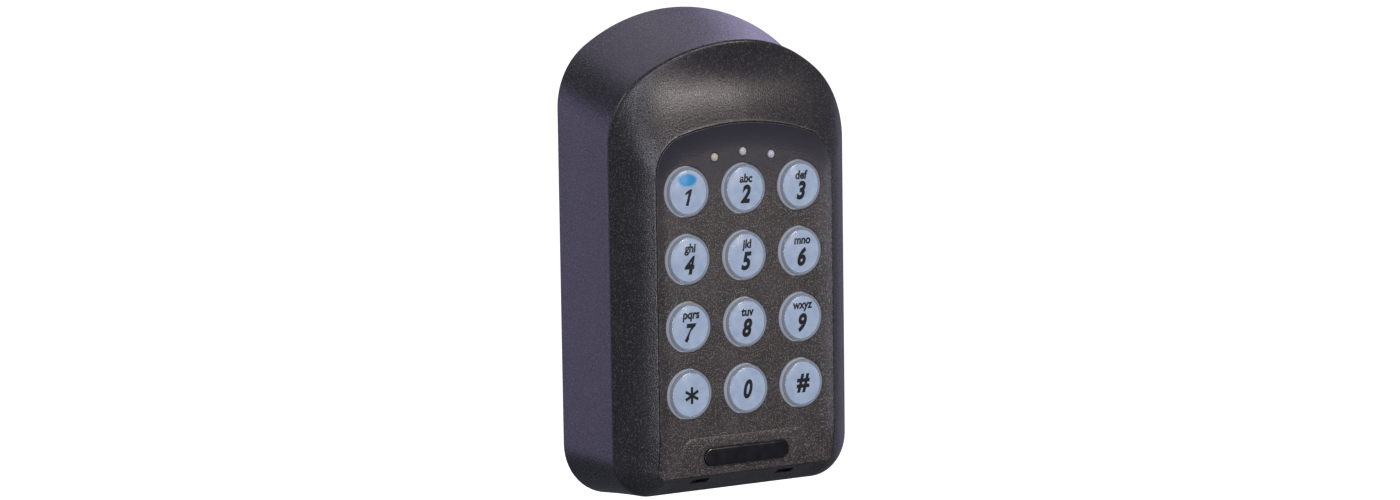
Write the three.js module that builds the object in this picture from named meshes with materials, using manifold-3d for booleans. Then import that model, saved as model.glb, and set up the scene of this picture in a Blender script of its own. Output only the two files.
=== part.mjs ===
// Wall-mounted access keypad and proximity reader, as an assembly of separate pieces.
// Millimetres. X runs right, Y runs into the wall, Z runs up.
// Pieces are placed in the panel frame: the keypad panel's flat floor is the plane Y = 0 and
// the middle of the twelve keys is the point (0, 0, 0). The outer group moves that frame so
// that the origin lies on the wall plane, in the middle of the back plate.

import * as THREE from 'three';
import { mergeVertices } from 'three/addons/utils/BufferGeometryUtils.js';
import { ParametricGeometry } from 'three/addons/geometries/ParametricGeometry.js';
import Module from 'manifold-3d';

const wasm = await Module();
wasm.setup();

// ---- Driving dimensions -------------------------------------------------------------------

const GAP = 0.3; // clearance between neighbouring pieces
const WALL = 2.4; // wall thickness of the front housing
const FRONT_WALL = 3.2; // depth of material behind the front edge
const WALL_PLANE = 29.3; // depth of the wall plane behind the panel floor
const MID_HEIGHT = 8.95; // height of the body's middle above the middle of the keys

// Outlines: a flat foot, straight sides and a crowned arch, all of round arcs.
const BACK = { halfWidth: 38.5, top: 73.2, crownR: 52.5, cornerR: 19.8, bottom: -55.3, footR: 14.5 };
const RIM = { halfWidth: 36.7, top: 64.85, crownR: 47.5, cornerR: 22.5, bottom: -53.2, footR: 11.2 };
const LIP = { halfWidth: 27.3, top: 43.5, crownR: 70, cornerR: 11, bottom: -48, footR: 2.2 };
const FLOOR = { halfWidth: 23.1, top: 36.2, crownR: 62, cornerR: 8, bottom: -47.0, footR: 1.2 };

const RIM_SIDE_DEPTH = 7.1; // depth of the front edge along the sides and the foot
const RIM_APEX_DEPTH = -0.8; // depth of the front edge at the top of the arch
const RIM_BOW_RADIUS = 8; // how round the bowed front edge is at its apex
const SIDE_FLARE = 1.3; // above 1, the walls and the sloping top are slightly hollow
const LIP_DEPTH = -1.2; // the lip stands proud of the panel floor
const LIP_FADE = 10; // the lip runs out over this height above the foot
const SIDE_BULGE = 0.9; // the side bands of the bezel are slightly round
const SCOOP_DEPTH = 2.6; // the band above the keypad is hollowed

const LEDGE_WIDTH = 1.7; // the ledge inside the lip that carries the panel
const LEDGE_FRONT = 2.7;
const LEDGE_BACK = 4.4;
const LEDGE_ROOT = 1; // how far outside the lip the ledge's back face reaches
const FASCIA_BACK = 2.4;

const KEY_PITCH = 17.5;
const KEY_TRAVEL = 1.2; // the stroke that the gap under each plunger allows
const CAP_R = 6.4;
const CAP = { crown: -1.95, pocketR: 5.5, flangeR: 7.1, flangeThickness: 0.7 };
const LEGEND_R = 5.2;
const LEGEND_FRONT = -0.85;
const LEGEND_THICKNESS = 1;
const PLUNGER = { headR: 4.4, tipR: 3, tipLength: 1.2, rest: 0.4 };
const MAT = { width: 50, height: 66, cornerR: 3, thickness: 1.3, holeR: 5 };
const LEGENDS = ['1', '2', '3', '4', '5', '6', '7', '8', '9', 'star', '0', 'hash'];

const BOARD_FRONT = 9.6;
const BOARD_BACK = 11.2;
const PLATE_THICKNESS = 2.5;
const PLATE_FRONT = WALL_PLANE - PLATE_THICKNESS;

const LED_PLACES = [[-8.8, 34.75], [0, 35.9], [8.8, 34.75]];
const LED_R = 1.1;
const LED_TIP = { r: 0.7, proud: 0.45, round: 0.15 };
const WINDOW = { width: 26.6, height: 5.2, z: -43.4, depth: 0.9 };
const PAD = { width: 40, height: 9.2, z: -42.4, cornerR: 4, proud: 0.3 };
const SLOT = { x: 13.3, z: -49.6, width: 5.2, height: 1.3 };
const CUT = 1; // how far a cutting tool runs past the face it opens
const BOSS = { r: 2.3, holeR: 1.4, front: 5.4, holeFront: 6.2 };
const BOSS_PLACES = [[-30.6, 34], [30.6, 34], [-30.6, -36], [30.6, -36]];
const ENTRY = { width: 22, height: 14, cornerR: 4, z: -30 };
const PLATE_INSET = 3.8; // edge of the back plate, inside the outline at the wall
const TONGUE = { width: 5, height: 1.6, front: 11.5, z: -48 };
const WALL_SLOT = { length: 8.4, height: 4.4, x: 24, heights: [45, -38] };
const GROMMET = { boreWidth: 15.4, boreHeight: 7.4, cornerR: 3, lip: 0.9, overlap: 2 };
const SEAL = { inset: 4.3, width: 1.8, thickness: 1.6 };

const BOARD_OUTLINE = { halfWidth: 33, top: 58, crownR: 44, cornerR: 17, bottom: -46.8, footR: 5 };
const BOARD_HOLE_R = 1.45;
const COIL = { outset: 0.6, bottom: -44, footR: 6, width: 2.2, thickness: 2 };
const SCREW = { tip: 6.8, r: 1.1, headR: 2.3, headEdge: 1.4, headHeight: 2, crownR: 1.6 };
const DRIVE = { length: 2.2, width: 0.6, depth: 1 };
const TERMINAL = { ways: 8, pitch: 5, height: 9, depth: 10 };
const WIRE_WAY = { width: 3.4, height: 5, front: 1.5, back: 6, z: -4 };
const SCREW_WELL = { size: 3, front: 8.8, z: 1 };
const RELAY = { width: 19, height: 10, depth: 12.2 };
const BUZZER = { r: 6, depth: 7, edge: 0.6, soundR: 1.2, soundDepth: 2 };
const CHIP = { size: 10, depth: 1.5 };
const CAN = { r: 4, depth: 11, edge: 0.5 };

// ---- Materials ----------------------------------------------------------------------------

function finish(color, roughness, metalness = 0) {
  return new THREE.MeshStandardMaterial({ color, roughness, metalness });
}

const SHELL = () => finish(0x3a3744, 0.55);
const PANEL = () => finish(0x46423f, 0.6);
const CLEAR = () => finish(0xd6dee8, 0.15);
const LEGEND = () => finish(0xb4c4dc, 0.45);
const SILICONE = () => finish(0xc8c8c4, 0.7);
const BLACK = () => finish(0x17171a, 0.35);
const BOARD = () => finish(0x1f5a38, 0.5);
const COPPER = () => finish(0xb06a38, 0.35, 1);
const STEEL = () => finish(0xa8a9ac, 0.35, 1);
const RUBBER = () => finish(0x1c1c1e, 0.85);

// ---- Solids -------------------------------------------------------------------------------

// A closed three.js geometry as a manifold solid, with shared corners merged.
function solid(geometry) {
  const bare = geometry.clone();
  bare.deleteAttribute('normal');
  bare.deleteAttribute('uv');
  const merged = mergeVertices(bare, 1e-4);
  const index = merged.index.array;
  const kept = [];
  for (let i = 0; i < index.length; i += 3) {
    const [a, b, c] = [index[i], index[i + 1], index[i + 2]];
    if (a !== b && b !== c && c !== a) kept.push(a, b, c);
  }
  const mesh = new wasm.Mesh({
    numProp: 3,
    vertProperties: new Float32Array(merged.attributes.position.array),
    triVerts: new Uint32Array(kept),
  });
  return new wasm.Manifold(mesh);
}

function toGeometry(shape) {
  const mesh = shape.getMesh();
  const geometry = new THREE.BufferGeometry();
  geometry.setAttribute('position', new THREE.BufferAttribute(mesh.vertProperties, 3));
  geometry.setIndex(new THREE.BufferAttribute(mesh.triVerts, 1));
  geometry.computeVertexNormals();
  return geometry;
}

// A straight prism of a shape drawn in X and Z, from depth y0 to depth y1.
function prism(shape, y0, y1, curveSegments = 6) {
  const geometry = new THREE.ExtrudeGeometry(shape, {
    depth: y1 - y0, bevelEnabled: false, curveSegments,
  });
  geometry.rotateX(Math.PI / 2);
  geometry.translate(0, y1, 0);
  return solid(geometry);
}

// A turned piece whose axis runs along Y; the profile lists [radius, depth].
function turned(profile, segments) {
  const points = profile.map(([r, y]) => new THREE.Vector2(r, y));
  return solid(new THREE.LatheGeometry(points, segments));
}

function disc(radius, y0, y1, segments) {
  return turned([[0, y0], [radius, y0], [radius, y1], [0, y1]], segments);
}

function block(width, height, y0, y1) {
  const geometry = new THREE.BoxGeometry(width, y1 - y0, height);
  geometry.translate(0, (y0 + y1) / 2, 0);
  return solid(geometry);
}

function roundedRect(width, height, radius) {
  const x = width / 2;
  const z = height / 2;
  const quarter = Math.PI / 2;
  const shape = new THREE.Shape();
  shape.absarc(x - radius, z - radius, radius, 0, quarter, false);
  shape.absarc(-x + radius, z - radius, radius, quarter, 2 * quarter, false);
  shape.absarc(-x + radius, -z + radius, radius, 2 * quarter, 3 * quarter, false);
  shape.absarc(x - radius, -z + radius, radius, 3 * quarter, 4 * quarter, false);
  shape.closePath();
  return shape;
}

// ---- Outlines -----------------------------------------------------------------------------

// Steps in each stretch of half an outline: crown, corner, side, foot corner, foot.
const STEPS = [7, 6, 4, 4, 2];
const HALF_STEPS = STEPS.reduce((sum, n) => sum + n, 0);
const SLICES = 2 * HALF_STEPS;
const SIDE_STATIONS = [0, 0.3, 0.7, 0.88, 1];

function inset(outline, by) {
  return {
    halfWidth: outline.halfWidth - by,
    top: outline.top - by,
    crownR: outline.crownR - by,
    cornerR: outline.cornerR - by,
    bottom: outline.bottom + by,
    footR: outline.footR - by,
  };
}

// The right half of an outline, from the top of the arch to the middle of the foot.
function halfOutline({ halfWidth, top, crownR, cornerR, bottom, footR }) {
  const crownZ = top - crownR;
  const cornerX = halfWidth - cornerR;
  const cornerZ = crownZ + Math.sqrt((crownR - cornerR) ** 2 - cornerX ** 2);
  const join = Math.atan2(cornerX, cornerZ - crownZ);
  const footX = halfWidth - footR;
  const footZ = bottom + footR;
  const onArc = (x, z, r, angle) => [x + r * Math.sin(angle), z + r * Math.cos(angle)];
  const between = (a, b, t) => a + (b - a) * t;
  const stretches = [
    (t) => onArc(0, crownZ, crownR, join * t),
    (t) => onArc(cornerX, cornerZ, cornerR, between(join, Math.PI / 2, t)),
    (t) => [halfWidth, between(cornerZ, footZ, SIDE_STATIONS[Math.round(t * STEPS[2])])],
    (t) => onArc(footX, footZ, footR, between(Math.PI / 2, Math.PI, t)),
    (t) => [between(footX, 0, t), bottom],
  ];
  const points = [];
  stretches.forEach((stretch, i) => {
    for (let k = 0; k < STEPS[i]; k += 1) points.push(stretch(k / STEPS[i]));
  });
  points.push([0, bottom]);
  return points;
}

// The point of an outline at one of its 2 * HALF_STEPS stations, with which half it is on.
function station(outline, index) {
  const half = halfOutline(outline);
  const k = ((index % SLICES) + SLICES) % SLICES;
  if (k <= HALF_STEPS) return { x: half[k][0], z: half[k][1], along: k };
  return { x: -half[SLICES - k][0], z: half[SLICES - k][1], along: SLICES - k };
}

const ARCH_END = STEPS[0] + STEPS[1];

function rimDepth(x, along) {
  if (along > ARCH_END) return RIM_SIDE_DEPTH;
  const bow = (v) => Math.sqrt(v * v + RIM_BOW_RADIUS ** 2) - RIM_BOW_RADIUS;
  const rise = RIM_SIDE_DEPTH - RIM_APEX_DEPTH;
  return RIM_APEX_DEPTH + (rise * bow(x)) / bow(RIM.halfWidth);
}

function lipDepth(z) {
  const t = Math.min(1, Math.max(0, (z - LIP.bottom) / LIP_FADE));
  return LIP_DEPTH * t * t * (3 - 2 * t);
}

// ---- Lofts --------------------------------------------------------------------------------

// A ring is a function of the station index that gives a point [x, y, z].
// A loft through rings is closed around the outline; "looped" closes it through the rings too.
function loft(rings, looped) {
  const cached = rings.map((ring) => Array.from({ length: SLICES }, (_, i) => ring(i)));
  const last = looped ? rings.length : rings.length - 1;
  const place = (u, v, target) => {
    const row = cached[Math.round(v * last) % rings.length];
    target.set(...row[Math.round(u * SLICES) % SLICES]);
  };
  return solid(new ParametricGeometry(place, SLICES, last));
}

function flatRing(outline, y) {
  return (i) => {
    const p = station(outline, i);
    return [p.x, y, p.z];
  };
}

function point(y, z) {
  return () => [0, y, z];
}

// The ring of the outer skin, from 0 at the front edge to 1 at the wall.
function wallRing(t, by = 0, deeper = 0) {
  const front = inset(RIM, by);
  const back = inset(BACK, by);
  const out = t ** SIDE_FLARE;
  return (i) => {
    const a = station(front, i);
    const b = station(back, i);
    const y0 = rimDepth(a.x, a.along) + deeper;
    return [a.x + (b.x - a.x) * out, y0 + (WALL_PLANE - y0) * t, a.z + (b.z - a.z) * out];
  };
}

// The ring of the bezel's face, from 0 at the front edge to 1 at the keypad's lip.
function bezelRing(t) {
  return (i) => {
    const a = station(RIM, i);
    const b = station(LIP, i);
    const y0 = rimDepth(a.x, a.along);
    const y1 = lipDepth(b.z);
    const overKeypad = Math.max(0, 1 - a.along / ARCH_END);
    const onFoot = a.along > ARCH_END + STEPS[2] + STEPS[3] ? 0 : 1;
    const blend = overKeypad * overKeypad * (3 - 2 * overKeypad);
    const swell = SCOOP_DEPTH * blend - SIDE_BULGE * (1 - blend) * onFoot;
    const y = y0 + (y1 - y0) * t + swell * Math.sin(Math.PI * t);
    return [a.x + (b.x - a.x) * t, y, a.z + (b.z - a.z) * t];
  };
}

// ---- Housing and panel --------------------------------------------------------------------

function bosses(shape) {
  const back = BOARD_FRONT - GAP;
  return BOSS_PLACES.reduce((body, [x, z]) => {
    const boss = disc(BOSS.r, BOSS.front, back, 16).translate(x, 0, z);
    const hole = disc(BOSS.holeR, BOSS.holeFront, back + CUT, 12).translate(x, 0, z);
    return body.add(boss).subtract(hole);
  }, shape);
}

function frontHousing() {
  const ledgeInner = inset(LIP, LEDGE_WIDTH);
  const ledgeOuter = inset(LIP, -LEDGE_ROOT);
  const shell = loft([
    wallRing(1, WALL), wallRing(0, WALL, FRONT_WALL),
    flatRing(ledgeOuter, LEDGE_BACK), flatRing(ledgeInner, LEDGE_BACK),
    flatRing(ledgeInner, LEDGE_FRONT), flatRing(LIP, LEDGE_FRONT),
    bezelRing(1), bezelRing(0.8), bezelRing(0.5), bezelRing(0.2),
    wallRing(0), wallRing(0.33), wallRing(0.66), wallRing(1),
  ], true);
  const slotCut = block(SLOT.width, SLOT.height, LIP_DEPTH - CUT, LEDGE_BACK + 2 * CUT);
  return bosses(shell)
    .subtract(slotCut.translate(-SLOT.x, 0, SLOT.z))
    .subtract(slotCut.translate(SLOT.x, 0, SLOT.z));
}

function coveRing(s) {
  const outer = inset(LIP, GAP);
  return (i) => {
    const a = station(outer, i);
    const b = station(FLOOR, i);
    return [a.x + (b.x - a.x) * s, lipDepth(a.z) * (1 - s) ** 2, a.z + (b.z - a.z) * s];
  };
}

function keyPlaces() {
  return LEGENDS.map((legend, i) => ({
    legend,
    x: (i % 3 - 1) * KEY_PITCH,
    z: (1.5 - Math.floor(i / 3)) * KEY_PITCH,
  }));
}

function keypadFascia() {
  const keyHoleR = CAP_R + GAP;
  const plate = loft([
    point(0, 0), coveRing(1), coveRing(0.7), coveRing(0.35), coveRing(0),
    flatRing(inset(LIP, GAP), FASCIA_BACK), point(FASCIA_BACK, 0),
  ], false);
  const pad = prism(roundedRect(PAD.width, PAD.height, PAD.cornerR), -PAD.proud, FASCIA_BACK / 2);
  const recess = prism(windowShape(WINDOW), -PAD.proud - CUT, WINDOW.depth - PAD.proud);
  let fascia = plate.add(pad.translate(0, 0, PAD.z)).subtract(recess.translate(0, 0, WINDOW.z));
  for (const { x, z } of keyPlaces()) {
    fascia = fascia.subtract(disc(keyHoleR, -CUT, FASCIA_BACK + CUT, 24).translate(x, 0, z));
  }
  for (const [x, z] of LED_PLACES) {
    fascia = fascia.subtract(disc(LED_R + GAP, -CUT, FASCIA_BACK + CUT, 12).translate(x, 0, z));
  }
  return fascia;
}

// A pill outline; its end arcs stop just short of meeting, so that no side is of zero length.
function windowShape({ width, height }) {
  const short = 0.05;
  return roundedRect(width, height, height / 2 - short);
}

function sensorWindow() {
  const inner = { width: WINDOW.width - 2 * GAP, height: WINDOW.height - 2 * GAP };
  const sunk = 0.1;
  const back = WINDOW.depth - PAD.proud - GAP;
  return prism(windowShape(inner), sunk - PAD.proud, back).translate(0, 0, WINDOW.z);
}

function statusLens() {
  const { r, proud, round } = LED_TIP;
  const back = BOARD_FRONT - GAP;
  return turned([[0, -proud], [r, round - proud], [LED_R, 0], [LED_R, back], [0, back]], 12);
}

// ---- Keys ---------------------------------------------------------------------------------

// A clear cap: a shallow dome, straight sides and a flange that keeps it behind the panel.
function keyCap() {
  const flangeFront = FASCIA_BACK + GAP;
  const flangeBack = flangeFront + CAP.flangeThickness;
  const pocketFront = LEGEND_FRONT - GAP;
  const dome = [[0, 0], [3, 0.12], [5.6, 0.55], [6.25, 1], [CAP_R, 1.55]];
  return turned([
    ...dome.map(([r, fall]) => [r, CAP.crown + fall]),
    [CAP_R, flangeFront], [CAP.flangeR, flangeFront], [CAP.flangeR, flangeBack],
    [CAP.pocketR, flangeBack], [CAP.pocketR, pocketFront], [0, pocketFront],
  ], 20);
}

function keyLegend() {
  return disc(LEGEND_R, LEGEND_FRONT, LEGEND_FRONT + LEGEND_THICKNESS, 16);
}

// A silicone plunger: a wide head that fills the cap and a narrower contact below it.
function keyPlunger() {
  const { headR, tipR, tipLength, rest } = PLUNGER;
  const tip = BOARD_FRONT - KEY_TRAVEL - rest;
  const shoulder = tip - tipLength;
  const head = LEGEND_FRONT + LEGEND_THICKNESS + GAP;
  return turned([
    [0, head], [headR, head], [headR, shoulder], [tipR, shoulder], [tipR, tip], [0, tip],
  ], 12);
}

function keyMat() {
  const back = BOARD_FRONT - GAP;
  const front = back - MAT.thickness;
  let mat = prism(roundedRect(MAT.width, MAT.height, MAT.cornerR), front, back, 3);
  for (const { x, z } of keyPlaces()) {
    mat = mat.subtract(disc(MAT.holeR, front - CUT, back + CUT, 12).translate(x, 0, z));
  }
  return mat;
}

// ---- Electronics --------------------------------------------------------------------------

const PARTS_FRONT = BOARD_BACK + GAP; // where the pieces on the board's back begin

function circuitBoard() {
  let board = loft([
    point(BOARD_FRONT, 0), flatRing(BOARD_OUTLINE, BOARD_FRONT),
    flatRing(BOARD_OUTLINE, BOARD_BACK), point(BOARD_BACK, 0),
  ], false);
  for (const [x, z] of BOSS_PLACES) {
    const hole = disc(BOARD_HOLE_R, BOARD_FRONT - CUT, BOARD_BACK + CUT, 12);
    board = board.subtract(hole.translate(x, 0, z));
  }
  return board;
}

// A flat ring of one section all the way round an outline.
function ringBand(outer, width, front, back) {
  const inner = inset(outer, width);
  return loft([
    flatRing(inner, back), flatRing(inner, front), flatRing(outer, front), flatRing(outer, back),
  ], true);
}

// The reader's antenna: a flat wound loop that runs around the keypad, behind the ledge.
function antennaCoil() {
  const front = LEDGE_BACK + GAP;
  const around = { ...inset(LIP, -COIL.outset), bottom: COIL.bottom, footR: COIL.footR };
  return ringBand(around, COIL.width, front, front + COIL.thickness);
}

function boardScrew() {
  const edge = PARTS_FRONT + SCREW.headEdge;
  const head = PARTS_FRONT + SCREW.headHeight;
  const screw = turned([
    [0, SCREW.tip], [SCREW.r, SCREW.tip], [SCREW.r, PARTS_FRONT], [SCREW.headR, PARTS_FRONT],
    [SCREW.headR, edge], [SCREW.crownR, head], [0, head],
  ], 12);
  return screw.subtract(block(DRIVE.length, DRIVE.width, head - DRIVE.depth, head + CUT));
}

// The wires enter from below and the clamping screws are reached from the back.
function terminalBlock() {
  const { ways, pitch, height, depth } = TERMINAL;
  let body = block(ways * pitch + 1, height, PARTS_FRONT, PARTS_FRONT + depth);
  const wireWay = block(WIRE_WAY.width, WIRE_WAY.height,
    PARTS_FRONT + WIRE_WAY.front, PARTS_FRONT + WIRE_WAY.back);
  const well = block(SCREW_WELL.size, SCREW_WELL.size,
    PARTS_FRONT + SCREW_WELL.front, PARTS_FRONT + depth + CUT);
  for (let i = 0; i < ways; i += 1) {
    const x = (i - (ways - 1) / 2) * pitch;
    body = body.subtract(wireWay.translate(x, 0, WIRE_WAY.z));
    body = body.subtract(well.translate(x, 0, SCREW_WELL.z));
  }
  return body;
}

function relay() {
  return block(RELAY.width, RELAY.height, PARTS_FRONT, PARTS_FRONT + RELAY.depth);
}

function buzzer() {
  const { r, depth, edge, soundR, soundDepth } = BUZZER;
  const back = PARTS_FRONT + depth;
  return turned([
    [0, PARTS_FRONT], [r, PARTS_FRONT], [r, back - edge], [r - edge, back],
    [soundR, back], [soundR, back - soundDepth], [0, back - soundDepth],
  ], 16);
}

function microcontroller() {
  return block(CHIP.size, CHIP.size, PARTS_FRONT, PARTS_FRONT + CHIP.depth);
}

function capacitor() {
  const back = PARTS_FRONT + CAN.depth;
  return turned([
    [0, PARTS_FRONT], [CAN.r, PARTS_FRONT], [CAN.r, back - CAN.edge], [CAN.r - CAN.edge, back],
    [0, back],
  ], 12);
}

// ---- Back plate ---------------------------------------------------------------------------

// An opening through the back plate, or a body that fills one.
function throughPlate(width, height, cornerR, front, back) {
  return prism(roundedRect(width, height, cornerR), front, back, 4);
}

function backPlate() {
  const outline = inset(BACK, PLATE_INSET);
  const [front, back] = [PLATE_FRONT - CUT, WALL_PLANE + CUT];
  const plate = loft([
    point(PLATE_FRONT, 0), flatRing(outline, PLATE_FRONT),
    flatRing(outline, WALL_PLANE), point(WALL_PLANE, 0),
  ], false);
  const entry = throughPlate(ENTRY.width, ENTRY.height, ENTRY.cornerR, front, back);
  const tongue = block(TONGUE.width, TONGUE.height, TONGUE.front, PLATE_FRONT + CUT);
  const slot = throughPlate(WALL_SLOT.length, WALL_SLOT.height,
    WALL_SLOT.height / 2 - 0.05, front, back);
  let body = plate.subtract(entry.translate(0, 0, ENTRY.z));
  for (const side of [-1, 1]) {
    body = body.add(tongue.translate(side * SLOT.x, 0, TONGUE.z));
    for (const z of WALL_SLOT.heights) {
      body = body.subtract(slot.translate(side * WALL_SLOT.x, 0, z));
    }
  }
  return body;
}

function cableGrommet() {
  const flangeBack = PLATE_FRONT - GAP;
  const front = flangeBack - GROMMET.lip;
  const { boreWidth, boreHeight, overlap } = GROMMET;
  const bore = throughPlate(boreWidth, boreHeight, GROMMET.cornerR, front - CUT, WALL_PLANE + CUT);
  const neck = throughPlate(ENTRY.width - 2 * GAP, ENTRY.height - 2 * GAP, ENTRY.cornerR - GAP,
    front, WALL_PLANE - GAP);
  const flange = throughPlate(ENTRY.width + 2 * overlap, ENTRY.height + 2 * overlap,
    ENTRY.cornerR + 1, front, flangeBack);
  return neck.add(flange).subtract(bore).translate(0, 0, ENTRY.z);
}

function edgeSeal() {
  const back = PLATE_FRONT - GAP;
  return ringBand(inset(BACK, SEAL.inset), SEAL.width, back - SEAL.thickness, back);
}

// ---- Assembly -----------------------------------------------------------------------------

const product = new THREE.Group();
product.position.set(0, -WALL_PLANE, -MID_HEIGHT);

function put(name, shape, material, x = 0, z = 0) {
  const mesh = new THREE.Mesh(toGeometry(shape), material);
  mesh.name = name;
  mesh.position.set(x, 0, z);
  product.add(mesh);
}

put('front_housing', frontHousing(), SHELL());
put('keypad_fascia', keypadFascia(), PANEL());
put('sensor_window', sensorWindow(), BLACK());
LED_PLACES.forEach(([x, z], i) => put(`status_led_${i + 1}`, statusLens(), CLEAR(), x, z));

for (const { legend, x, z } of keyPlaces()) {
  put(`key_${legend}_cap`, keyCap(), CLEAR(), x, z);
  put(`key_${legend}_legend`, keyLegend(), LEGEND(), x, z);
  put(`key_${legend}_plunger`, keyPlunger(), SILICONE(), x, z);
}

put('key_mat', keyMat(), SILICONE());
put('antenna_coil', antennaCoil(), COPPER());
put('circuit_board', circuitBoard(), BOARD());
BOSS_PLACES.forEach(([x, z], i) => put(`board_screw_${i + 1}`, boardScrew(), STEEL(), x, z));
put('terminal_block', terminalBlock(), BLACK(), 0, -14);
put('relay', relay(), BLACK(), -17, 8);
put('buzzer', buzzer(), BLACK(), 17, 10);
put('microcontroller', microcontroller(), BLACK(), 0, 30);
put('capacitor', capacitor(), STEEL(), 16, 30);
put('back_plate', backPlate(), SHELL());
put('cable_grommet', cableGrommet(), RUBBER());
put('edge_seal', edgeSeal(), RUBBER());

export default product;
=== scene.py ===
"""Looks of the wall keypad with proximity reader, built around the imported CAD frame.

Everything is in metres in the CAD's frame. The driving sizes below are the CAD's own, in
millimetres in the panel frame: the panel's floor is Y = 0 and the middle of the keys is
(0, 0, 0). The function at() carries a point from there to the CAD's frame.
"""
import math

import bmesh
import bpy
from mathutils import Matrix, Vector


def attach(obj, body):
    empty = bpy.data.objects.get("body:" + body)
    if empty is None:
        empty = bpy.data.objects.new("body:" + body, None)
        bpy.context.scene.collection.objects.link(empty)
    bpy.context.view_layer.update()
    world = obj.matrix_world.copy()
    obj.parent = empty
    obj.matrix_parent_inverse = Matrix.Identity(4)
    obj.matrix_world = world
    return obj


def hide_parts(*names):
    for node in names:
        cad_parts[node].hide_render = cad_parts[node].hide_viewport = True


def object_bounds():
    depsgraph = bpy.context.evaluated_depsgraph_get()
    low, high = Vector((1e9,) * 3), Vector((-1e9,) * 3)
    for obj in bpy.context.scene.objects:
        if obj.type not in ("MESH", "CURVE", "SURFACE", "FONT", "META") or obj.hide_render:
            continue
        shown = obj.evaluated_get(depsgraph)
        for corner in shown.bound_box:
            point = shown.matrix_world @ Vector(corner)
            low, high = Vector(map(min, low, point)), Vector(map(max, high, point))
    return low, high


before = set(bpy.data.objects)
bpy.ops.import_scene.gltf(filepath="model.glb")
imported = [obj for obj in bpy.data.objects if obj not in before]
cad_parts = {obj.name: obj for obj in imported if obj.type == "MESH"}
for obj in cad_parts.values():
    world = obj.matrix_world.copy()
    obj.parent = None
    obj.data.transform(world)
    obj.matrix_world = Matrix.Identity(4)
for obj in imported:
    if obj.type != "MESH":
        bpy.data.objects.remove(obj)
CAD_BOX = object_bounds()

# ---- Driving dimensions, in millimetres ---------------------------------------------------

MM = 0.001
WALL_PLANE = 29.3
MID_HEIGHT = 8.95
GAP = 0.3
SEAM = 0.07  # what shows of the gap round the panel
WALL = 2.4
FRONT_WALL = 3.2

BACK = dict(half=38.5, top=73.2, crown=52.5, corner=19.8, bottom=-55.3, foot=14.5)
RIM = dict(half=36.7, top=64.85, crown=47.5, corner=22.5, bottom=-53.2, foot=11.2)
LIP = dict(half=27.3, top=43.5, crown=70.0, corner=11.0, bottom=-48.0, foot=2.2)
FLOOR = dict(half=23.1, top=36.2, crown=62.0, corner=8.0, bottom=-47.0, foot=1.2)

RIM_SIDE_DEPTH = 7.1
RIM_APEX_DEPTH = -0.8
RIM_BOW_RADIUS = 8.0
SIDE_FLARE = 1.3
LIP_DEPTH = -1.2
LIP_FADE = 10.0
SIDE_BULGE = 0.9
SCOOP_DEPTH = 2.6
LEDGE_WIDTH = 1.7
LEDGE_FRONT = 2.7
LEDGE_BACK = 4.4
FASCIA_BACK = 2.4

KEY_PITCH = 17.5
CAP_R = 6.4
POCKET_R = 5.7
EDGE_FRONT = -0.6  # where the cap's shoulder turns into its side
LEGEND_R = 5.6
LEGEND_FRONT = -0.85
LEGEND_BACK = 0.15
LEGEND_CROWN = 0.22  # rise of the insert's slightly domed face
KEYS = ["1", "2", "3", "4", "5", "6", "7", "8", "9", "star", "0", "hash"]
LETTERS = {"2": "abc", "3": "def", "4": "ghi", "5": "jkl", "6": "mno", "7": "pqrs", "8": "tuv", "9": "wxyz"}

BOARD_FRONT = 9.6
LED_PLACES = [(-8.8, 34.75), (0.0, 35.9), (8.8, 34.75)]
LED_R = 1.1
WINDOW = dict(width=26.6, height=5.2, z=-43.4, depth=0.9)
PAD = dict(width=40.0, height=9.2, z=-42.4, corner=4.0, proud=0.15)
SLOT = dict(x=13.3, z=-49.6, width=5.2, height=1.3)
BOSS_R = 2.3
BOSS_PLACES = [(-30.6, 34), (30.6, 34), (-30.6, -36), (30.6, -36)]


def at(x, y, z):
    """A point of the panel frame, in millimetres, as a point of the CAD's frame, in metres."""
    return Vector((x * MM, (y - WALL_PLANE) * MM, (z - MID_HEIGHT) * MM))


# ---- Outlines -----------------------------------------------------------------------------

STEPS = (24, 20, 22, 14, 10)  # steps in each stretch of half an outline
HALF = sum(STEPS)
AROUND = 2 * HALF
ARCH_END = STEPS[0] + STEPS[1]
FOOT_START = ARCH_END + STEPS[2] + STEPS[3]


def mix(a, b, t):
    return a + (b - a) * t


def smooth(t):
    t = min(1.0, max(0.0, t))
    return t * t * (3 - 2 * t)


def inset(shape, by):
    """The outline moved inwards by that much."""
    signs = dict(half=-1, top=-1, crown=-1, corner=-1, bottom=1, foot=-1)
    return {key: value + signs[key] * by for key, value in shape.items()}


def half_outline(shape):
    """The right half of an outline, from the top of the arch to the middle of the foot."""
    crown_z = shape["top"] - shape["crown"]
    corner_x = shape["half"] - shape["corner"]
    corner_z = crown_z + math.sqrt((shape["crown"] - shape["corner"]) ** 2 - corner_x ** 2)
    join = math.atan2(corner_x, corner_z - crown_z)
    foot_x = shape["half"] - shape["foot"]
    foot_z = shape["bottom"] + shape["foot"]

    def arc(x, z, r, angle):
        return x + r * math.sin(angle), z + r * math.cos(angle)

    stretches = (
        lambda t: arc(0, crown_z, shape["crown"], join * t),
        lambda t: arc(corner_x, corner_z, shape["corner"], mix(join, math.pi / 2, t)),
        lambda t: (shape["half"], mix(corner_z, foot_z, t)),
        lambda t: arc(foot_x, foot_z, shape["foot"], mix(math.pi / 2, math.pi, t)),
        lambda t: (mix(foot_x, 0, t), shape["bottom"]),
    )
    points = [f(k / n) for f, n in zip(stretches, STEPS) for k in range(n)]
    return points + [(0.0, shape["bottom"])]


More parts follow.
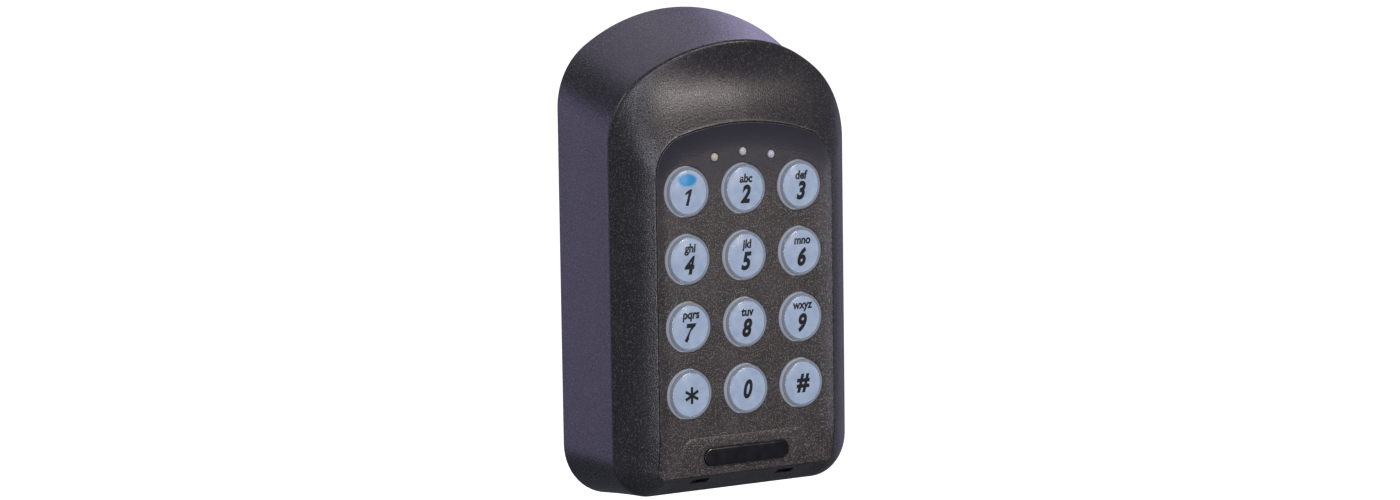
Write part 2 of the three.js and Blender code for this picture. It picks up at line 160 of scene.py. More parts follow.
def outline(shape):
    """All stations of an outline as (x, z, steps from the top)."""
    half = half_outline(shape)
    right = [(x, z, k) for k, (x, z) in enumerate(half)]
    left = [(-x, z, k) for x, z, k in right[-2:0:-1]]
    return right + left


def rim_depth(x, along):
    """Depth of the front edge: bowed over the arch, level along the sides and the foot."""
    if along > ARCH_END:
        return RIM_SIDE_DEPTH

    def bow(v):
        return math.hypot(v, RIM_BOW_RADIUS) - RIM_BOW_RADIUS

    return mix(RIM_APEX_DEPTH, RIM_SIDE_DEPTH, bow(x) / bow(RIM["half"]))


def lip_depth(z):
    return LIP_DEPTH * smooth((z - LIP["bottom"]) / LIP_FADE)


# ---- Rings and lofts ----------------------------------------------------------------------

def flat_ring(shape, y):
    return [Vector((x, y, z)) for x, z, _ in outline(shape)]


def wall_ring(t, by=0.0, deeper=0.0):
    """A ring of the side walls, from 0 at the front edge to 1 at the wall."""
    out = t ** SIDE_FLARE
    ring = []
    for (ax, az, along), (bx, bz, _) in zip(outline(inset(RIM, by)), outline(inset(BACK, by))):
        y0 = rim_depth(ax, along) + deeper
        ring.append(Vector((mix(ax, bx, out), mix(y0, WALL_PLANE, t), mix(az, bz, out))))
    return ring


def bezel_ring(t):
    """A ring of the bezel's face, from 0 at the front edge to 1 at the keypad's lip."""
    ring = []
    for (ax, az, along), (bx, bz, _) in zip(outline(RIM), outline(LIP)):
        hood = smooth(1 - along / ARCH_END)
        band = 0 if along > FOOT_START else 1
        swell = SCOOP_DEPTH * hood - SIDE_BULGE * (1 - hood) * band
        y = mix(rim_depth(ax, along), lip_depth(bz), t) + swell * math.sin(math.pi * t)
        ring.append(Vector((mix(ax, bx, t), y, mix(az, bz, t))))
    return ring


def cove_ring(s):
    """A ring of the panel, from 0 at its edge to 1 where the cove meets the flat floor."""
    ring = []
    for (ax, az, _), (bx, bz, _) in zip(outline(inset(LIP, SEAM)), outline(FLOOR)):
        ring.append(Vector((mix(ax, bx, s), lip_depth(az) * (1 - s) ** 2, mix(az, bz, s))))
    return ring


def rounding(before, corner, after, steps=5):
    """Rings that round the edge at corner, from the ring before it to the ring after it."""
    rings = []
    for k in range(steps + 1):
        t = k / steps
        rings.append([
            a * (1 - t) ** 2 + c * 2 * t * (1 - t) + b * t ** 2
            for a, c, b in zip(before, corner, after)
        ])
    return rings


def between(ring_of, start, stop, count):
    """Rings of one surface, spread evenly between two of its parameters, ends included."""
    return [ring_of(mix(start, stop, k / count)) for k in range(count + 1)]


def loft(rings, looped):
    """A closed mesh through the rings. If it isn't looped, its two ends are capped."""
    bm = bmesh.new()
    rows = [[bm.verts.new(at(*p)) for p in ring] for ring in rings]
    pairs = list(zip(rows, rows[1:])) + ([(rows[-1], rows[0])] if looped else [])
    for a, b in pairs:
        for i in range(len(a)):
            j = (i + 1) % len(a)
            bm.faces.new((a[i], a[j], b[j], b[i]))
    if not looped:
        bm.faces.new(rows[0])
        bm.faces.new(rows[-1])
    bmesh.ops.recalc_face_normals(bm, faces=bm.faces)
    return bm


def turned(profile, centre=(0, 0, 0), segments=64):
    """A closed mesh turned about Y through centre; the profile lists (radius, depth)."""
    cx, cy, cz = centre
    bm = bmesh.new()
    rows = []
    for r, y in profile:
        count = segments if r > 0 else 1
        turn = 2 * math.pi / count
        rows.append([
            bm.verts.new(at(cx + r * math.cos(turn * k), cy + y, cz + r * math.sin(turn * k)))
            for k in range(count)
        ])
    for a, b in zip(rows, rows[1:]):
        for k in range(segments):
            j = (k + 1) % segments
            corners = [a[k % len(a)], a[j % len(a)], b[j % len(b)], b[k % len(b)]]
            bm.faces.new(list(dict.fromkeys(corners)))
    bmesh.ops.recalc_face_normals(bm, faces=bm.faces)
    return bm


def pill_ring(width, height, corner, y, centre_z, by=0.0, arc_steps=10):
    """A rounded rectangle's ring in X and Z at depth y, moved inwards by that much."""
    r = corner - by
    hx = width / 2 - corner
    hz = height / 2 - corner
    ring = []
    for quadrant, (sx, sz) in enumerate(((1, 1), (-1, 1), (-1, -1), (1, -1))):
        for k in range(arc_steps + 1):
            angle = (quadrant + k / arc_steps) * math.pi / 2
            ring.append(Vector((sx * hx + r * math.cos(angle), y, centre_z + sz * hz + r * math.sin(angle))))
    return ring


# ---- Objects ------------------------------------------------------------------------------

def piece(name, bm, materials, body="base", nodes=(), sharp=38):
    """A new visible object from a mesh, riding on a body and standing for CAD nodes."""
    mesh = bpy.data.meshes.new(name)
    bm.to_mesh(mesh)
    bm.free()
    for material in materials:
        mesh.materials.append(material)
    obj = bpy.data.objects.new(name, mesh)
    bpy.context.scene.collection.objects.link(obj)
    soften(mesh, sharp)
    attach(obj, body)
    if nodes:
        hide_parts(*nodes)
    return obj


def soften(mesh, sharp):
    """Smooth shading, with edges sharper than that many degrees kept crisp."""
    mesh.polygons.foreach_set("use_smooth", [True] * len(mesh.polygons))
    mesh.set_sharp_from_angle(angle=math.radians(sharp))


def carve(bm, tool, operation="DIFFERENCE"):
    """The first mesh with the second one cut away or joined on. Both are used up."""
    objects = []
    for part in (bm, tool):
        mesh = bpy.data.meshes.new("carve")
        part.to_mesh(mesh)
        part.free()
        objects.append(bpy.data.objects.new("carve", mesh))
        bpy.context.scene.collection.objects.link(objects[-1])
    target, cutter = objects
    modifier = target.modifiers.new("carve", "BOOLEAN")
    modifier.operation = operation
    modifier.solver = "EXACT"
    modifier.object = cutter
    bpy.context.view_layer.update()
    result = bmesh.new()
    result.from_object(target, bpy.context.evaluated_depsgraph_get())
    for obj in objects:
        mesh = obj.data
        bpy.data.objects.remove(obj)
        bpy.data.meshes.remove(mesh)
    return result


def merged(parts):
    """Several separate meshes as one."""
    result = bmesh.new()
    for part in parts:
        mesh = bpy.data.meshes.new("merge")
        part.to_mesh(mesh)
        part.free()
        result.from_mesh(mesh)
        bpy.data.meshes.remove(mesh)
    return result


# ---- Materials ----------------------------------------------------------------------------

class Nodes:
    """A short way to write a material's node tree."""

    def __init__(self, name):
        self.material = bpy.data.materials.new(name)
        self.material.use_nodes = True
        self.tree = self.material.node_tree
        self.shader = self.tree.nodes["Principled BSDF"]
        self.place = self.tree.nodes.new("ShaderNodeTexCoord").outputs["Object"]

    def add(self, kind, **inputs):
        node = self.tree.nodes.new(kind)
        for key, value in inputs.items():
            self.feed(node.inputs[key.replace("_", " ")], value)
        return node

    def feed(self, socket, value):
        if isinstance(value, bpy.types.NodeSocket):
            self.tree.links.new(value, socket)
        else:
            socket.default_value = value

    def set(self, **inputs):
        for key, value in inputs.items():
            self.feed(self.shader.inputs[key.replace("_", " ")], value)

    def noise(self, grain_mm, detail=2.0, rough=0.5):
        """Noise whose blobs are about that many millimetres across."""
        return self.add("ShaderNodeTexNoise", Vector=self.place, Scale=1 / (grain_mm * MM),
                        Detail=detail, Roughness=rough).outputs["Fac"]

    def ramp(self, value, *stops):
        """A colour ramp; stops are (place, colour)."""
        node = self.add("ShaderNodeValToRGB", Fac=value)
        elements = node.color_ramp.elements
        while len(elements) < len(stops):
            elements.new(0.5)
        for element, (where, colour) in zip(elements, stops):
            element.position = where
            element.color = (*colour, 1) if len(colour) == 3 else colour
        return node.outputs["Color"]

    def grey(self, value, low, high, start=0.3, stop=0.7):
        """A number spread between low and high as the value goes from start to stop."""
        node = self.add("ShaderNodeMapRange", Value=value)
        ends = {"From Min": start, "From Max": stop, "To Min": low, "To Max": high}
        for key, end in ends.items():
            node.inputs[key].default_value = end
        return node.outputs["Result"]

    def blend(self, fac, a, b, mode="MIX"):
        node = self.tree.nodes.new("ShaderNodeMix")
        node.data_type = "RGBA"
        node.blend_type = mode
        for index, value in ((0, fac), (6, a), (7, b)):
            value = (*value, 1) if isinstance(value, tuple) and len(value) == 3 else value
            self.feed(node.inputs[index], value)
        return node.outputs[2]

    def bump(self, height, depth_mm, strength=1.0):
        node = self.add("ShaderNodeBump", Height=height, Distance=depth_mm * MM, Strength=strength)
        self.set(Normal=node.outputs["Normal"])


def speckled(name, dark, light, fleck, rough, grain=0.42, relief=0.05, fleck_share=0.62, fade=None):
    """Powder-like moulded texture: a fine pebbled surface with lighter flecks in it.

    With fade, the flecks die out upwards between two heights and the colour turns to a third, a painted reflection of
    light from above.
    """
    m = Nodes(name)
    pebble = m.noise(grain, detail=3.0, rough=0.6)
    cloud = m.noise(9.0, detail=2.0)
    base = m.blend(m.grey(cloud, 0, 1, 0.35, 0.65), dark, light)
    flecks = m.grey(m.noise(grain * 0.8, detail=1.0), 0, 1, fleck_share, fleck_share + 0.1)
    colour = m.blend(flecks, base, fleck)
    if fade:
        low, high, plain = fade
        # Painted reflection: the top band turns flat and purplish as if it mirrored light from above.
        height = m.add("ShaderNodeSeparateXYZ", Vector=m.place).outputs["Z"]
        colour = m.blend(m.grey(height, 0, 1, at(0, 0, low).z, at(0, 0, high).z), colour, plain)
    m.set(Base_Color=colour, Roughness=m.grey(pebble, rough - 0.08, rough + 0.1))
    m.bump(pebble, relief)
    return m


def moulded(name, colour, rough, grain=0.3, relief=0.02):
    """Plain moulded plastic or rubber with a fine even grain."""
    m = Nodes(name)
    grit = m.noise(grain, detail=2.0)
    cloud = m.noise(7.0)
    paler = tuple(min(1.0, c * 1.25 + 0.002) for c in colour)
    m.set(Base_Color=m.blend(m.grey(cloud, 0, 1), colour, paler),
          Roughness=m.grey(grit, rough - 0.06, rough + 0.08))
    m.bump(grit, relief)
    return m


def see_through(m, alpha):
    m.set(Alpha=alpha)
    return m


def shell_material():
    return speckled("shell_powder", (0.021, 0.020, 0.023), (0.027, 0.025, 0.029),
                    (0.095, 0.088, 0.084), 0.28, relief=0.08, fleck_share=0.56).material


def panel_material():
    # The fade gives the band by the LEDs a flat purplish colour: painted reflection of the light above.
    return speckled("panel_powder", (0.025, 0.022, 0.022), (0.040, 0.035, 0.036),
                    (0.165, 0.145, 0.138), 0.35, relief=0.09, fleck_share=0.55,
                    fade=(22, 33, (0.031, 0.029, 0.040))).material


def clear_material():
    """The clear front of a key cap: mostly see-through, with a polished surface."""
    m = Nodes("cap_clear")
    haze = m.noise(3.0)
    m.set(Base_Color=m.blend(haze, (0.02, 0.02, 0.03), (0.04, 0.04, 0.05)),
          Roughness=m.grey(haze, 0.12, 0.18), IOR=1.58)
    return see_through(m, 0.22).material


def shoulder_material():
    """The cap's round shoulder: clear over its dark pocket, and polished, with a grey tint that is painted shade."""
    m = Nodes("cap_shoulder_painted_shade")
    haze = m.noise(1.2)
    # The grey tint is painted shade: it darkens the ring round the key's face.
    m.set(Base_Color=m.blend(haze, (0.16, 0.18, 0.21), (0.24, 0.26, 0.30)),
          Roughness=m.grey(haze, 0.14, 0.24), IOR=1.58, Coat_Weight=0.6, Coat_Roughness=0.1)
    return see_through(m, 0.55).material


def edge_glow_material():
    """The cap's side by the panel: pale clear plastic, made paler still by a painted glow."""
    m = Nodes("cap_edge_painted_glow")
    haze = m.noise(1.2)
    # The pale colour also feeds the emission: painted glow, brighter than the plastic itself.
    glow = m.blend(haze, (0.60, 0.64, 0.72), (0.74, 0.79, 0.87))
    m.set(Base_Color=glow, Emission_Color=glow, Emission_Strength=0.24,
          Roughness=m.grey(haze, 0.12, 0.22), IOR=1.58)
    return see_through(m, 0.70).material


def legend_material(lit):
    """The pale blue insert, brightened by a painted glow; on the lit key a painted blue glow patch shows above the
    numeral.
    """
    m = Nodes("legend_glow_patch" if lit else "legend_face")
    cloud = m.noise(2.5)
    face = m.blend(m.grey(cloud, 0, 1), (0.42, 0.53, 0.73), (0.52, 0.63, 0.81))
    if lit:
        centre = at(-KEY_PITCH - 0.3, LEGEND_FRONT, 1.5 * KEY_PITCH + 3.1)
        offset = m.add("ShaderNodeVectorMath", Vector=m.place)
        offset.operation = "SUBTRACT"
        offset.inputs[1].default_value = centre
        squeeze = m.add("ShaderNodeVectorMath", Vector=offset.outputs[0])
        squeeze.operation = "MULTIPLY"
        squeeze.inputs[1].default_value = (0.75, 0, 1.3)
        length = m.add("ShaderNodeVectorMath", Vector=squeeze.outputs[0])
        length.operation = "LENGTH"
        # Mask of the painted blue glow patch above the numeral of key 1.
        glow = m.grey(length.outputs["Value"], 1, 0, 1.7 * MM, 2.4 * MM)
        face = m.blend(glow, face, (0.0, 0.32, 0.74))
    # The emission is painted glow: it brightens every insert as if it were lit from behind.
    m.set(Base_Color=face, Roughness=m.grey(cloud, 0.30, 0.4), Emission_Color=face)
    m.set(Coat_Weight=0.4, Coat_Roughness=0.25, Emission_Strength=0.60)
    return m.material


def ink_material():
    return moulded("print_ink", (0.006, 0.007, 0.012), 0.5, grain=0.15, relief=0.005).material


def window_material():
    m = Nodes("smoked_window")
    haze = m.noise(2.0)
    m.set(Base_Color=m.blend(haze, (0.006, 0.006, 0.008), (0.012, 0.012, 0.014)),
          Roughness=m.grey(haze, 0.16, 0.26), IOR=1.5)
    return m.material


def lens_material(name, colour):
    m = Nodes(name)
    haze = m.noise(0.8)
    m.set(Base_Color=m.blend(haze, colour, tuple(min(1, c * 1.2) for c in colour)),
          Roughness=m.grey(haze, 0.2, 0.32))
    return m.material


def board_material():
    """Solder mask with the traces under it standing slightly proud."""
    m = Nodes("board_mask")
    traces = m.add("ShaderNodeTexBrick", Vector=m.place, Scale=220.0)
    traces.inputs["Color1"].default_value = (0, 0, 0, 1)
    traces.inputs["Color2"].default_value = (0.2, 0.2, 0.2, 1)
    traces.inputs["Mortar"].default_value = (1, 1, 1, 1)
    traces.inputs["Mortar Size"].default_value = 0.03
    fac = traces.outputs["Fac"]
    m.set(Base_Color=m.blend(fac, (0.012, 0.085, 0.035), (0.03, 0.16, 0.06)),
          Roughness=m.grey(m.noise(0.5), 0.3, 0.42))
    m.bump(fac, 0.03)
    return m.material


def winding_material():
    """Enamelled wire: fine turns side by side round the loop."""
    m = Nodes("copper_wire")
    turns = m.add("ShaderNodeTexWave", Vector=m.place, Scale=1200.0, Distortion=0.4)
    turns.bands_direction = "Y"
    fac = turns.outputs["Fac"]
    m.set(Base_Color=m.blend(fac, (0.30, 0.10, 0.03), (0.62, 0.27, 0.11)),
          Roughness=m.grey(fac, 0.25, 0.4), Metallic=1.0)
    m.bump(fac, 0.05)
    return m.material


def metal_material(name, colour, rough):
    m = Nodes(name)
    stretched = m.add("ShaderNodeMapping", Vector=m.place)
    stretched.inputs["Scale"].default_value = (1, 6, 1)
    grain = m.add("ShaderNodeTexNoise", Vector=stretched.outputs["Vector"], Scale=3000.0).outputs["Fac"]
    m.set(Base_Color=m.blend(grain, colour, tuple(c * 0.8 for c in colour)),
          Roughness=m.grey(grain, rough, rough + 0.12), Metallic=1.0)
    m.bump(grain, 0.01)
    return m.material


SHELL = shell_material()
PANEL = panel_material()
CLEAR = clear_material()
CAP_SHOULDER = shoulder_material()
CAP_EDGE_GLOW = edge_glow_material()
LEGEND = legend_material(False)
LEGEND_GLOW_PATCH = legend_material(True)
# The insert's side is near black as painted shade: the dark crescent where its side lies in shadow.
LEGEND_SIDE_SHADE = moulded("legend_side_painted_shade", (0.012, 0.014, 0.030), 0.4).material
INK = ink_material()

# ---- Housing ------------------------------------------------------------------------------

def lip_wall_ring(y):
    return [Vector((p.x, mix(p.y, LEDGE_FRONT, y), p.z)) for p in bezel_ring(1)]


def box_tool(width, height, y0, y1, x, z):
    ring = [(-1, -1), (1, -1), (1, 1), (-1, 1)]
    return loft([
        [Vector((x + sx * width / 2, y, z + sz * height / 2)) for sx, sz in ring] for y in (y0, y1)
    ], False)


def housing_mesh():
    edge = 0.035  # share of each surface taken by the rounding of the front edge
    inner = inset(LIP, LEDGE_WIDTH)
    rings = between(lambda t: wall_ring(t, WALL, FRONT_WALL * (1 - t)), 1, 0, 8)
    rings += [flat_ring(inset(LIP, -1), LEDGE_BACK), flat_ring(inner, LEDGE_BACK)]
    rings += [flat_ring(inner, LEDGE_FRONT), lip_wall_ring(1)]
    rings += rounding(lip_wall_ring(0.12), bezel_ring(1), bezel_ring(0.965), 4)
    rings += between(bezel_ring, 0.94, 0.08, 30)
    rings += rounding(bezel_ring(0.055), bezel_ring(0), wall_ring(edge), 6)
    rings += between(wall_ring, 0.07, 0.97, 20)
    rings += rounding(wall_ring(0.985), wall_ring(1), wall_ring(1, 0.35), 3)
    shell = loft(rings, True)
    slots = [box_tool(SLOT["width"], SLOT["height"], -2, LEDGE_BACK + 2, side * SLOT["x"], SLOT["z"])
             for side in (-1, 1)]
    return carve(shell, merged(slots))


piece("housing_shell", housing_mesh(), [SHELL], nodes=["front_housing"])

# ---- Panel --------------------------------------------------------------------------------

def key_places():
    for i, key in enumerate(KEYS):
        yield key, (i % 3 - 1) * KEY_PITCH, (1.5 - i // 3) * KEY_PITCH


def hole_tool(radius, x, z, chamfer=0.25):
    return turned([(0, -3), (radius + chamfer, -3), (radius + chamfer, 0), (radius, chamfer),
                   (radius, 4), (0, 4)], (x, 0, z), 72)


def pad_mesh():
    """The faint raised pad round the window, with a soft edge."""
    args = (PAD["width"], PAD["height"], PAD["corner"])
    levels = ((-0.5, 0.3), (0.0, 0.06), (0.3, -0.06), (0.7, -0.12), (1.2, -PAD["proud"]))
    rings = [pill_ring(*args, 1.0, PAD["z"], -0.6)]
    rings += [pill_ring(*args, y, PAD["z"], by) for by, y in levels]
    return loft(rings, False)


def panel_mesh():
    rings = [cove_ring(s / 16) for s in range(16, 0, -1)]
    edge = cove_ring(0)
    dropped = [p + Vector((0, 0.15, 0)) for p in edge]
    rings += rounding(cove_ring(0.04), edge, dropped, 3)
    rings += [flat_ring(inset(LIP, SEAM), FASCIA_BACK)]
    plate = carve(loft(rings, False), pad_mesh(), "UNION")
    corner = WINDOW["height"] / 2
    window = [pill_ring(WINDOW["width"], WINDOW["height"], corner - 0.01, y, WINDOW["z"], by)
              for y, by in ((-1.0, -0.15), (-PAD["proud"], -0.15), (-PAD["proud"] + 0.15, 0),
                            (WINDOW["depth"] - PAD["proud"], 0))]
    tools = [loft(window, False)]
    tools += [hole_tool(CAP_R + GAP, x, z) for _, x, z in key_places()]
    tools += [hole_tool(LED_R + 0.12, x, z, 0.1) for x, z in LED_PLACES]
    return carve(plate, merged(tools))


piece("keypad_panel", panel_mesh(), [PANEL], nodes=["keypad_fascia"], sharp=12)


def window_mesh():
    args = (WINDOW["width"] - 2 * GAP, WINDOW["height"] - 2 * GAP, WINDOW["height"] / 2 - GAP - 0.01)
    front = 0.05 - PAD["proud"]
    levels = ((0.45, front), (0.2, front + 0.02), (0.06, front + 0.08), (0.0, front + 0.2), (0.0, 0.3))
    return loft([pill_ring(*args, y, WINDOW["z"], by) for by, y in levels], False)


piece("window_pane", window_mesh(), [window_material()], nodes=["sensor_window"])


def lens_mesh(x, z):
    dome = [(LED_R * math.sin(a), 0.1 - 0.55 * math.cos(a)) for a in (k * math.pi / 16 for k in range(9))]
    back = BOARD_FRONT - GAP
    return turned(dome + [(LED_R, back), (0, back)], (x, 0, z), 32)


LENS_COLOURS = [(0.50, 0.45, 0.36), (0.46, 0.48, 0.47), (0.47, 0.46, 0.54)]
for i, (place, colour) in enumerate(zip(LED_PLACES, LENS_COLOURS), 1):
    piece(f"led_lens_{i}", lens_mesh(*place), [lens_material(f"lens_{i}", colour)],
          nodes=[f"status_led_{i}"])

# ---- Keys ---------------------------------------------------------------------------------

def cap_mesh(x, z):
    """The clear cap: a shallow dome, a round shoulder, a collar and a flange behind the panel."""
    dome = [(r, -1.95 + 0.54 * (r / POCKET_R) ** 2) for r in (0, 1, 2, 3, 4, 5, POCKET_R)]
    start, corner, end = (POCKET_R, dome[-1][1]), (6.3, -1.25), (CAP_R, -0.3)
    shoulder = []
    for k in range(1, 9):
        t = k / 8
        shoulder.append(tuple(
            a * (1 - t) ** 2 + c * 2 * t * (1 - t) + b * t * t for a, c, b in zip(start, corner, end)
        ))
    flange = FASCIA_BACK + GAP
    pocket = LEGEND_FRONT - GAP
    rest = [(CAP_R, flange), (7.1, flange), (7.1, flange + 0.7), (POCKET_R, flange + 0.7),
            (POCKET_R, pocket), (0, pocket)]
    bm = turned(dome + shoulder + rest, (x, 0, z), 72)
    for face in bm.faces:
        centre = face.calc_center_median() / MM
        radius = math.hypot(centre.x - x, centre.z + MID_HEIGHT - z)
        on_side = centre.y + WALL_PLANE > EDGE_FRONT
        face.material_index = 0 if radius < POCKET_R - 0.05 else 2 if on_side else 1
    return bm


def crown(radius):
    """How far the insert's domed face stands forward at that radius."""
    return LEGEND_CROWN * (1 - (radius / LEGEND_R) ** 2)


def legend_mesh(x, z):
    face = [(r, LEGEND_FRONT - crown(r)) for r in (0, 1.5, 2.5, 3.5, 4.4, LEGEND_R - 0.12)]
    bm = turned(face + [(LEGEND_R, LEGEND_FRONT + 0.12), (LEGEND_R, LEGEND_BACK), (0, LEGEND_BACK)],
                (x, 0, z), 72)
    for face in bm.faces:
        depth = face.calc_center_median().y / MM + WALL_PLANE
        face.material_index = 0 if depth < LEGEND_FRONT + 0.08 else 1
    return bm


def lettering(text, size, x, z, slant, bold, stretch=1.0):
    """Printed characters as thin raised ink, centred on x and z in front of the insert."""
    curve = bpy.data.curves.new("lettering", "FONT")
    curve.body = text
    curve.size = size * MM
    curve.align_x = "CENTER"
    curve.align_y = "CENTER"
    curve.shear = slant
    curve.offset = bold * MM
    curve.extrude = 0.012 * MM
    curve.resolution_u = 6
    obj = bpy.data.objects.new("lettering", curve)
    bpy.context.scene.collection.objects.link(obj)
    bpy.context.view_layer.update()
    mesh = bpy.data.meshes.new_from_object(obj.evaluated_get(bpy.context.evaluated_depsgraph_get()))
    result = bmesh.new()
    result.from_mesh(mesh)
    bpy.data.meshes.remove(mesh)
    bpy.data.objects.remove(obj)
    bpy.data.curves.remove(curve)
    xs = [v.co.x for v in result.verts]
    ys = [v.co.y for v in result.verts]
    middle = Vector(((min(xs) + max(xs)) / 2, (min(ys) + max(ys)) / 2, 0))
    upright = Matrix.Rotation(math.pi / 2, 4, "X") @ Matrix.Diagonal((stretch, 1, 1, 1)) @ Matrix.Translation(-middle)
    place = Matrix.Translation(at(x, LEGEND_FRONT - 0.02, z))
    bmesh.ops.transform(result, matrix=place @ upright, verts=result.verts)
    bmesh.ops.remove_doubles(result, verts=result.verts, dist=1e-7)
    return result


def star_mesh(x, z):
    """Six short arms that cross at one point."""
    length, width = 4.4, 0.75
    bars = []
    for k in range(3):
        angle = math.pi / 2 + k * math.pi / 3
        across = Vector((math.cos(angle), 0, math.sin(angle)))
        side = Vector((-math.sin(angle), 0, math.cos(angle)))
        centre = Vector((x, 0, z))
        front = LEGEND_FRONT - 0.032 - 0.004 * k
        ends = [(-1, -1), (1, -1), (1, 1), (-1, 1)]
        rings = [[centre + across * (a * length / 2) + side * (b * width / 2) + Vector((0, y, 0))
                  for a, b in ends] for y in (front, LEGEND_FRONT - 0.008)]
        bars.append(loft(rings, False))
    return merged(bars)


def one_mesh(x, z):
    """The numeral 1: a slanted stem with a flag."""
    corners = [(-0.35, -2.1), (0.5, -2.1), (0.5, 2.1), (-0.2, 2.1), (-1.25, 1.35), (-1.25, 0.6),
               (-0.35, 1.05)]
    lean = 0.27
    return loft([[Vector((x + a + lean * b, y, z + b)) for a, b in corners]
                 for y in (LEGEND_FRONT - 0.032, LEGEND_FRONT - 0.008)], False)


def printed(key, x, z):
    if key == "star":
        return star_mesh(x + 0.1, z - 0.2)
    if key == "hash":
        return lettering("#", 6.4, x, z, 0.10, 0.26, 0.95)
    if key == "0":
        return lettering("0", 6.4, x, z, 0.25, 0.26, 0.8)
    if key == "1":
        return one_mesh(x, z - 1.4)
    digit = lettering(key, 6.2, x, z - 1.4, 0.25, 0.28, 0.84)
    return merged([digit, lettering(LETTERS[key], 3.1, x + 0.2, z + 2.7, 0.15, 0.12, 0.92)])


def print_mesh(key, x, z):
    """The key's print, laid on the insert's domed face."""
    bm = printed(key, x, z)
    for vert in bm.verts:
        radius = math.hypot(vert.co.x / MM - x, vert.co.z / MM + MID_HEIGHT - z)
        vert.co.y -= crown(radius) * MM
    return bm


for key, x, z in key_places():
    body = f"key_{key}"
    piece(f"{body}_dome", cap_mesh(x, z), [CLEAR, CAP_SHOULDER, CAP_EDGE_GLOW], body, [f"{body}_cap"])
    face = LEGEND_GLOW_PATCH if key == "1" else LEGEND
    piece(f"{body}_insert", legend_mesh(x, z), [face, LEGEND_SIDE_SHADE], body, [f"{body}_legend"])
    piece(f"{body}_print", print_mesh(key, x, z), [INK], body)

# ---- Carried-over CAD pieces --------------------------------------------------------------

def finish_nodes(material, *names):
    for name in names:
        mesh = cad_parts[name].data
        mesh.materials.clear()
        mesh.materials.append(material)


SILICONE = moulded("silicone", (0.42, 0.42, 0.40), 0.5, grain=0.5).material
COMPONENT = moulded("component_case", (0.018, 0.018, 0.020), 0.45).material
RUBBER = moulded("rubber", (0.020, 0.020, 0.022), 0.7, grain=0.4, relief=0.03).material
finish_nodes(SILICONE, "key_mat", *[f"key_{key}_plunger" for key in KEYS])
finish_nodes(board_material(), "circuit_board")
finish_nodes(winding_material(), "antenna_coil")
finish_nodes(metal_material("zinc_screw", (0.55, 0.55, 0.56), 0.3), *[f"board_screw_{i}" for i in range(1, 5)])
finish_nodes(metal_material("aluminium_can", (0.62, 0.62, 0.64), 0.35), "capacitor")
finish_nodes(COMPONENT, "terminal_block", "relay", "buzzer", "microcontroller")
finish_nodes(RUBBER, "cable_grommet", "edge_seal")
finish_nodes(speckled("back_moulding", (0.030, 0.029, 0.032), (0.038, 0.037, 0.040),
                      (0.06, 0.058, 0.06), 0.5).material, "back_plate")

# ---- Camera, floor and lights -------------------------------------------------------------

CAMERA = dict(focal_px=3059.16, yaw=0.569734, pitch=0.0982349, roll=-0.0142087,
              offset=(-0.656256, 0.585118), distance=45.57028)
FRAME_WIDTH = 1400
SENSOR = 36.0


def add_camera():
    """The camera at the left of the keypad and slightly above it. Lengths are in key pitches."""
    yaw, pitch, roll = CAMERA["yaw"], CAMERA["pitch"], CAMERA["roll"]
    forward = Vector((math.sin(yaw) * math.cos(pitch), math.cos(yaw) * math.cos(pitch), -math.sin(pitch)))
    right = Vector((math.cos(yaw), -math.sin(yaw), 0))
    up = right.cross(forward)
    side_offset, up_offset = CAMERA["offset"]
    place = (-forward * CAMERA["distance"] + right * side_offset + up * up_offset) * KEY_PITCH
    turned_right = right * math.cos(roll) + up * math.sin(roll)
    turned_up = up * math.cos(roll) - right * math.sin(roll)
    data = bpy.data.cameras.new("camera")
    data.sensor_width = SENSOR
    data.lens = SENSOR * CAMERA["focal_px"] / FRAME_WIDTH
    camera = bpy.data.objects.new("camera", data)
    axes = Matrix((turned_right, turned_up, -forward)).transposed().to_4x4()
    camera.matrix_world = Matrix.Translation(at(*place)) @ axes
    bpy.context.scene.collection.objects.link(camera)
    bpy.context.scene.camera = camera


def add_light(name, place, target, size, power, colour=(1, 1, 1)):
    data = bpy.data.lights.new(name, "AREA")
    data.shape = "RECTANGLE"
    data.size, data.size_y = size
    data.energy = power
    data.color = colour
    light = bpy.data.objects.new(name, data)
    direction = Vector(target) - Vector(place)
    light.rotation_euler = direction.to_track_quat("-Z", "Y").to_euler()
    light.location = place
    bpy.context.scene.collection.objects.link(light)


def around(azimuth, elevation, distance):
    """A place that far from the origin: azimuth 0 is in front, and positive is to the right."""
    a, e = math.radians(azimuth), math.radians(elevation)
    return (distance * math.sin(a) * math.cos(e), -distance * math.cos(a) * math.cos(e), distance * math.sin(e))


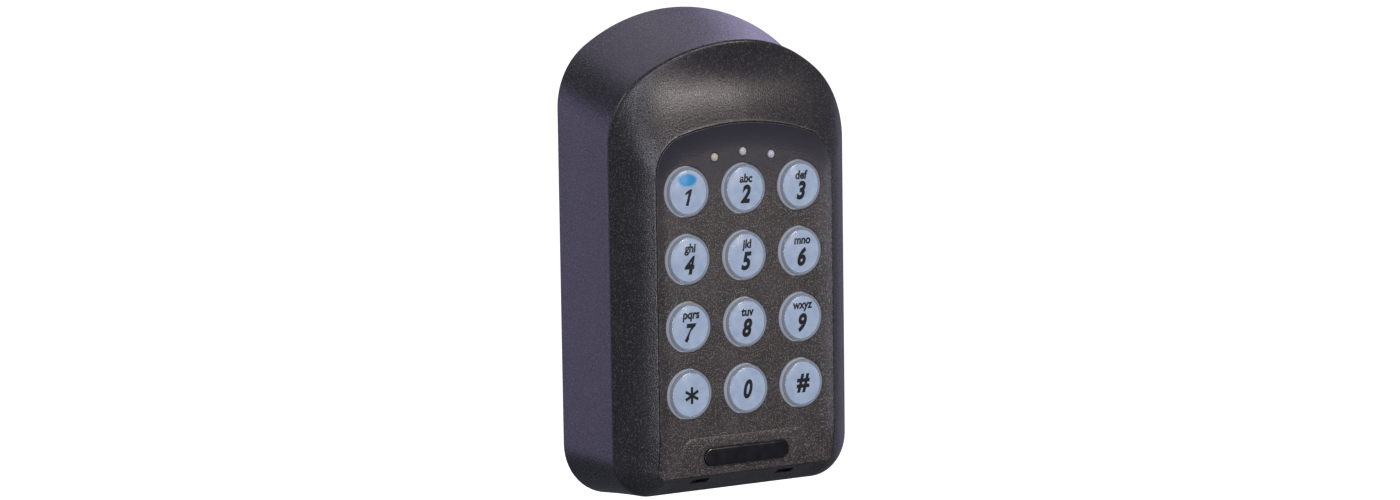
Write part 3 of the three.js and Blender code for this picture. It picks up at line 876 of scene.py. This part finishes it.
def add_floor():
    """A plain white floor with walls round it, so that level views have no horizon.

    They glow evenly and stay out of the object's reflected light, so they don't light it.
    """
    drop = 0.16  # the keypad hangs on a wall, so the floor is well below it
    reach = 3.0
    low = CAD_BOX[0].z - drop
    bm = bmesh.new()
    corners = ((-1, -1), (1, -1), (1, 1), (-1, 1))
    foot = [bm.verts.new((sx * reach, sy * reach, low)) for sx, sy in corners]
    head = [bm.verts.new((sx * reach, sy * reach, reach)) for sx, sy in corners]
    bm.faces.new(foot)
    for i in range(4):
        j = (i + 1) % 4
        bm.faces.new((foot[i], foot[j], head[j], head[i]))
    mesh = bpy.data.meshes.new("floor")
    bm.to_mesh(mesh)
    bm.free()
    m = Nodes("pale_floor")
    m.set(Base_Color=m.blend(m.noise(300.0), (0.86, 0.86, 0.87), (0.88, 0.88, 0.88)), Roughness=0.9)
    m.set(Emission_Color=(1, 1, 1, 1), Emission_Strength=1.0)
    mesh.materials.append(m.material)
    floor = bpy.data.objects.new("floor", mesh)
    bpy.context.scene.collection.objects.link(floor)
    floor.visible_diffuse = False
    floor.visible_glossy = False


def add_world():
    world = bpy.data.worlds.new("studio")
    world.use_nodes = True
    background = world.node_tree.nodes["Background"]
    background.inputs["Color"].default_value = (0.80, 0.84, 1.0, 1)
    background.inputs["Strength"].default_value = 0.14
    bpy.context.scene.world = world


add_camera()
add_floor()
add_world()
centre = (0, -0.02, 0)
add_light("key", around(23, 12, 0.9), centre, (0.16, 0.24), 1.1, (1.0, 0.90, 0.84))
add_light("high", around(20, 23, 0.9), centre, (0.18, 0.18), 2.3, (1.0, 0.90, 0.84))
add_light("glint", around(16, 3, 0.9), centre, (0.1, 0.1), 0.25, (1.0, 1.0, 1.0))
add_light("strip", around(-16, 4, 1.1), centre, (0.12, 0.9), 5.0, (0.84, 0.86, 1.0))
add_light("dome", around(-85, 42, 0.9), centre, (0.22, 0.22), 1.2, (0.9, 0.95, 1.0))
add_light("top", around(141, 20, 1.1), centre, (0.9, 0.5), 1.55, (0.69, 0.61, 1.0))
add_light("right", around(112, 0, 1.1), centre, (0.5, 0.9), 0.45, (0.70, 0.62, 1.0))
add_light("back", around(175, 60, 1.1), centre, (1.0, 0.6), 2.1, (0.82, 0.74, 1.0))
add_light("left", around(-128, 2, 1.2), centre, (0.9, 0.9), 3.9, (0.66, 0.57, 1.0))
scene = bpy.context.scene
scene.view_settings.view_transform = "Standard"
